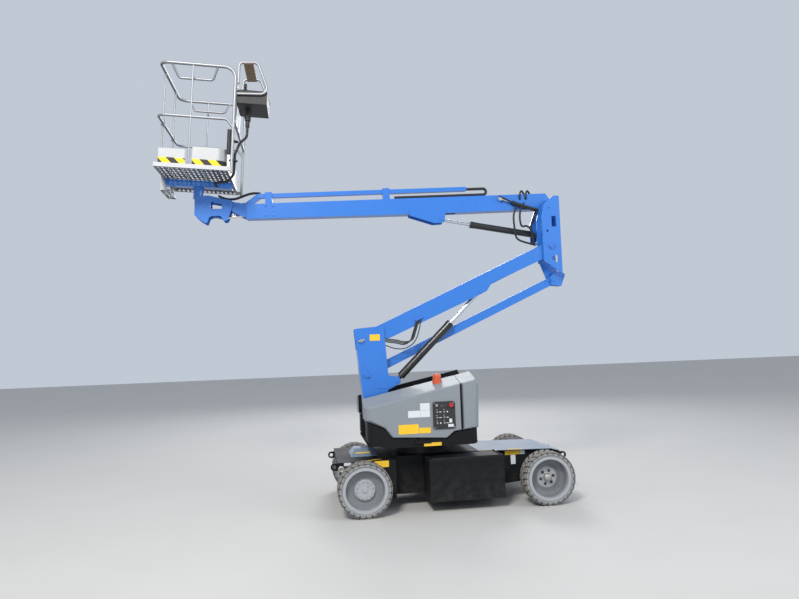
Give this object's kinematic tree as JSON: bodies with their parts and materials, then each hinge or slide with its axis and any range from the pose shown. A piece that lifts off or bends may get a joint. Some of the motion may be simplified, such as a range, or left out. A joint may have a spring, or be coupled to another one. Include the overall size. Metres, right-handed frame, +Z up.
{
  "type": "articulating boom lift",
  "caption": "Electric articulating boom lift with a parallelogram lower boom, a telescopic upper boom and a railed work platform on a slewing base",
  "frame": {"origin": "centre of the bounding box on the floor below the tyres", "axes": "+X along the chassis from the drive end to the steering end, +Y across it to the left of that, +Z up"},
  "size_m": [4.6003, 1.499, 4.8403],
  "materials": {
    "tyre_rubber": "matt grey tread rubber",
    "rim_grey": "light grey semi-gloss paint",
    "boom_blue": "bright blue gloss paint",
    "cover_grey": "light blue-grey moulded cover",
    "chassis_black": "near-black satin paint",
    "deck_grey": "glossy blue-grey deck paint",
    "cylinder_black": "black gloss paint",
    "rod_chrome": "hard chrome",
    "rail_silver": "silver tube",
    "toe_grey": "light sheet, striped below",
    "beacon_orange": "orange-red lens",
    "control_grey": "dark moulded box",
    "lid_brown": "brown paint",
    "hose_black": "black hose",
    "battery_case": "black battery case"
  },
  "bodies": {
    "chassis": {"chassis_frame": "chassis_black", "slew_ring": "rail_silver", "drive_motors": "chassis_black", "decks": "deck_grey", "battery_boxes": "chassis_black", "batteries": "battery_case", "tie_down_lugs": "chassis_black", "steer_axle": "chassis_black"},
    "turntable": {"turntable_base": "chassis_black", "rear_cover": "cover_grey", "counterweight": "chassis_black", "tower": "boom_blue", "cover_latch": "chassis_black"},
    "near_cover": {"side_cover_near": "cover_grey", "beacon": "beacon_orange", "ground_controls": "control_grey"},
    "far_cover": {"side_cover_far": "cover_grey"},
    "lower_boom": {"lower_boom": "boom_blue"},
    "lower_link": {"lower_link": "boom_blue"},
    "lower_barrel": {"lower_cylinder_barrel": "cylinder_black"},
    "lower_rod": {"lower_cylinder_rod": "rod_chrome"},
    "riser": {"riser": "boom_blue"},
    "upper_boom": {"upper_boom": "boom_blue", "carrier_chain": "hose_black"},
    "upper_barrel": {"upper_cylinder_barrel": "cylinder_black"},
    "upper_rod": {"upper_cylinder_rod": "rod_chrome"},
    "master_barrel": {"level_master_barrel": "cylinder_black"},
    "master_rod": {"level_master_rod": "rod_chrome"},
    "extension": {"boom_extension": "boom_blue", "carrier_tube": "boom_blue"},
    "level_bracket": {"level_bracket": "boom_blue"},
    "slave_rod": {"level_slave_rod": "rod_chrome"},
    "platform": {"platform_floor": "rail_silver", "platform_beam": "boom_blue", "guard_rails": "rail_silver", "toe_boards": "toe_grey", "entry_step": "rail_silver", "control_box": "control_grey", "control_guard": "rail_silver", "control_lid": "lid_brown", "platform_cable": "hose_black"},
    "entry_bar": {"entry_bar": "rail_silver"},
    "knuckle_near": {"knuckle_near": "chassis_black"},
    "knuckle_far": {"knuckle_far": "chassis_black"},
    "tie_rod": {"tie_rod": "chassis_black"},
    "wheel_drive_near": {"tyre_drive_near": "tyre_rubber", "rim_drive_near": "rim_grey"},
    "wheel_drive_far": {"tyre_drive_far": "tyre_rubber", "rim_drive_far": "rim_grey"},
    "wheel_steer_near": {"tyre_steer_near": "tyre_rubber", "rim_steer_near": "rim_grey"},
    "wheel_steer_far": {"tyre_steer_far": "tyre_rubber", "rim_steer_far": "rim_grey"}
  },
  "joints": [
    {"name": "slew", "type": "hinge", "parent": "chassis", "child": "turntable", "pos_m": [0.525, 0, 0.655], "axis": [0, 0, 1], "range_deg": [-200, 200]},
    {"name": "lower_lift", "type": "hinge", "parent": "turntable", "child": "lower_boom", "pos_m": [-0.148, -0.09, 1.8], "axis": [0, -1, 0], "range_deg": [-39.4, 42]},
    {"name": "link_swing", "type": "hinge", "parent": "turntable", "child": "lower_link", "pos_m": [-0.102, -0.029, 1.413], "axis": [0, -1, 0], "range_deg": [-39.4, 42]},
    {"name": "riser_level", "type": "hinge", "parent": "lower_boom", "child": "riser", "pos_m": [2.11414, -0.09, 2.82615], "axis": [0, -1, 0], "range_deg": [-42, 39.4]},
    {"name": "lower_barrel_swing", "type": "hinge", "parent": "turntable", "child": "lower_barrel", "pos_m": [0.241, -0.105, 1.339], "axis": [0, -1, 0], "range_deg": [-38.1, 40.6]},
    {"name": "lower_rod_slide", "type": "slide", "parent": "lower_barrel", "child": "lower_rod", "axis": [0.7152, 0, 0.6989], "range_m": [-0.376, 0.4]},
    {"name": "upper_lift", "type": "hinge", "parent": "riser", "child": "upper_boom", "pos_m": [2.16714, 0.14, 3.38615], "axis": [0, 1, 0], "range_deg": [-16.1, 76.9]},
    {"name": "upper_barrel_swing", "type": "hinge", "parent": "riser", "child": "upper_barrel", "pos_m": [2.06714, 0.14, 3.00415], "axis": [0, 1, 0], "range_deg": [-14.4, 68.5]},
    {"name": "upper_rod_slide", "type": "slide", "parent": "upper_barrel", "child": "upper_rod", "axis": [-0.9865, 0, 0.164], "range_m": [-0.093, 0.444]},
    {"name": "master_barrel_swing", "type": "hinge", "parent": "riser", "child": "master_barrel", "pos_m": [2.09614, 0.043, 3.27415], "axis": [0, 1, 0], "range_deg": [-15.3, 73.1]},
    {"name": "master_rod_slide", "type": "slide", "parent": "master_barrel", "child": "master_rod", "axis": [-0.9527, 0, 0.304], "range_m": [-0.033, 0.156]},
    {"name": "extend", "type": "slide", "parent": "upper_boom", "child": "extension", "axis": [-0.9995, 0, -0.0332], "range_m": [0, 1.2]},
    {"name": "platform_level", "type": "hinge", "parent": "extension", "child": "level_bracket", "pos_m": [-1.57502, 0.14, 3.38908], "axis": [0, 1, 0], "range_deg": [-76.9, 16.1]},
    {"name": "slave_rod_slide", "type": "slide", "parent": "extension", "child": "slave_rod", "axis": [0.9923, 0, 0.1236], "range_m": [-0.0422, 0.2014]},
    {"name": "platform_turn", "type": "hinge", "parent": "level_bracket", "child": "platform", "pos_m": [-1.90902, 0.14, 3.66508], "axis": [0.0645, 0, 0.9979], "range_deg": [-90, 90]},
    {"name": "entry_bar_lift", "type": "slide", "parent": "platform", "child": "entry_bar", "axis": [0.0645, 0, 0.9979], "range_m": [0, 0.45]},
    {"name": "near_cover_lift", "type": "hinge", "parent": "turntable", "child": "near_cover", "pos_m": [0.35, -0.2713, 1.272], "axis": [-0.9788, 0, -0.2046], "range_deg": [0, 60]},
    {"name": "far_cover_lift", "type": "hinge", "parent": "turntable", "child": "far_cover", "pos_m": [0.35, 0.3013, 1.272], "axis": [0.9788, 0, 0.2046], "range_deg": [0, 60]},
    {"name": "steer_near", "type": "hinge", "parent": "chassis", "child": "knuckle_near", "pos_m": [1.75, -0.569, 0.2795], "axis": [0, 0, 1], "range_deg": [-40, 40]},
    {"name": "steer_far", "type": "hinge", "parent": "chassis", "child": "knuckle_far", "pos_m": [1.75, 0.569, 0.2795], "axis": [0, 0, 1], "range_deg": [-40, 40]},
    {"name": "tie_rod_swing", "type": "hinge", "parent": "knuckle_near", "child": "tie_rod", "pos_m": [1.6, -0.569, 0.2495], "axis": [0, 0, 1], "range_deg": [-40, 40]},
    {"name": "drive_near_spin", "type": "hinge", "parent": "chassis", "child": "wheel_drive_near", "pos_m": [-0.2, -0.661, 0.2795], "axis": [0, 1, 0], "continuous": true},
    {"name": "drive_far_spin", "type": "hinge", "parent": "chassis", "child": "wheel_drive_far", "pos_m": [-0.2, 0.661, 0.2795], "axis": [0, 1, 0], "continuous": true},
    {"name": "steer_near_spin", "type": "hinge", "parent": "knuckle_near", "child": "wheel_steer_near", "pos_m": [1.75, -0.661, 0.2795], "axis": [0, 1, 0], "continuous": true},
    {"name": "steer_far_spin", "type": "hinge", "parent": "knuckle_far", "child": "wheel_steer_far", "pos_m": [1.75, 0.661, 0.2795], "axis": [0, 1, 0], "continuous": true}
  ],
  "couplings": [
    {"joint": "link_swing", "follows": "lower_lift", "ratio": 1},
    {"joint": "riser_level", "follows": "lower_lift", "ratio": -1},
    {"joint": "lower_barrel_swing", "follows": "lower_lift", "ratio": 0.965},
    {"joint": "lower_rod_slide", "follows": "lower_lift", "m_per_rad": 0.545},
    {"joint": "upper_barrel_swing", "follows": "upper_lift", "ratio": 0.89},
    {"joint": "upper_rod_slide", "follows": "upper_lift", "m_per_rad": 0.33},
    {"joint": "master_barrel_swing", "follows": "upper_lift", "ratio": 0.95},
    {"joint": "master_rod_slide", "follows": "upper_lift", "m_per_rad": 0.116},
    {"joint": "platform_level", "follows": "upper_lift", "ratio": -1},
    {"joint": "slave_rod_slide", "follows": "upper_lift", "m_per_rad": 0.15},
    {"joint": "steer_far", "follows": "steer_near", "ratio": 1},
    {"joint": "tie_rod_swing", "follows": "steer_near", "ratio": -1}
  ]
}
